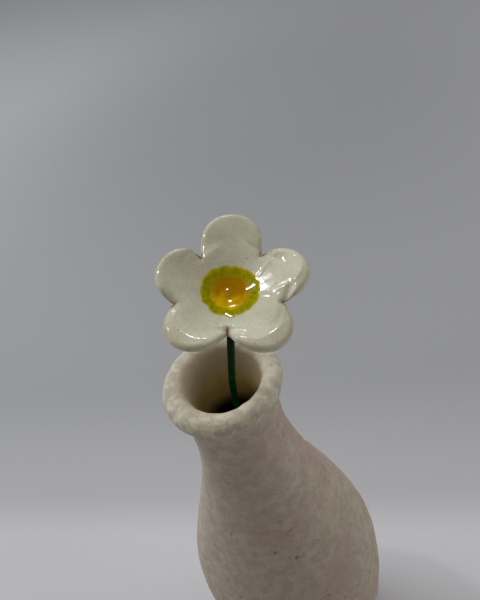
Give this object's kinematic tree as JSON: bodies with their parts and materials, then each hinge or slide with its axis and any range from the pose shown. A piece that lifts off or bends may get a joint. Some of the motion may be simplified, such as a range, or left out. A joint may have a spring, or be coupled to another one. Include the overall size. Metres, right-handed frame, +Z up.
{
  "type": "ceramic bud vase",
  "caption": "Hand-thrown speckled stoneware bottle vase with a rolled rim, holding a lift-out glazed ceramic flower on a green-coated bent wire stem.",
  "frame": {"origin": "centre of the foot, on the plane the vase stands on", "axes": "+Z up along the axis of the vase, -Y towards the viewer of the picture, +X to the viewer's right"},
  "size_m": [0.062, 0.062, 0.2057],
  "materials": {
    "stoneware": "matte, rough, speckled",
    "liner_glaze": "satin brown glaze",
    "steel_wire": "drawn",
    "green_coating": "semi-gloss",
    "petal_glaze": "glossy off-white glaze",
    "green_glaze": "glossy olive glaze",
    "amber_glaze": "glossy amber glaze"
  },
  "bodies": {
    "vase": {"vase_body": "stoneware", "liner_glaze": "liner_glaze"},
    "stem": {"stem_wire": "steel_wire", "stem_coating": "green_coating"},
    "flower": {"flower_boss": "petal_glaze", "petal_top": "petal_glaze", "petal_right": "petal_glaze", "petal_lower_right": "petal_glaze", "petal_lower_left": "petal_glaze", "petal_left": "petal_glaze", "centre_ring": "green_glaze", "centre_pool": "amber_glaze"}
  },
  "joints": [
    {"name": "pick_lift", "type": "slide", "parent": "vase", "child": "stem", "axis": [-0.0592, 0.1025, 0.993], "range_m": [0, 0.16]},
    {"name": "flower_turn", "type": "hinge", "parent": "stem", "child": "flower", "pos_m": [0.00919, -0.01372, 0.19791], "axis": [0.1603, -0.2777, 0.9472], "continuous": true}
  ]
}
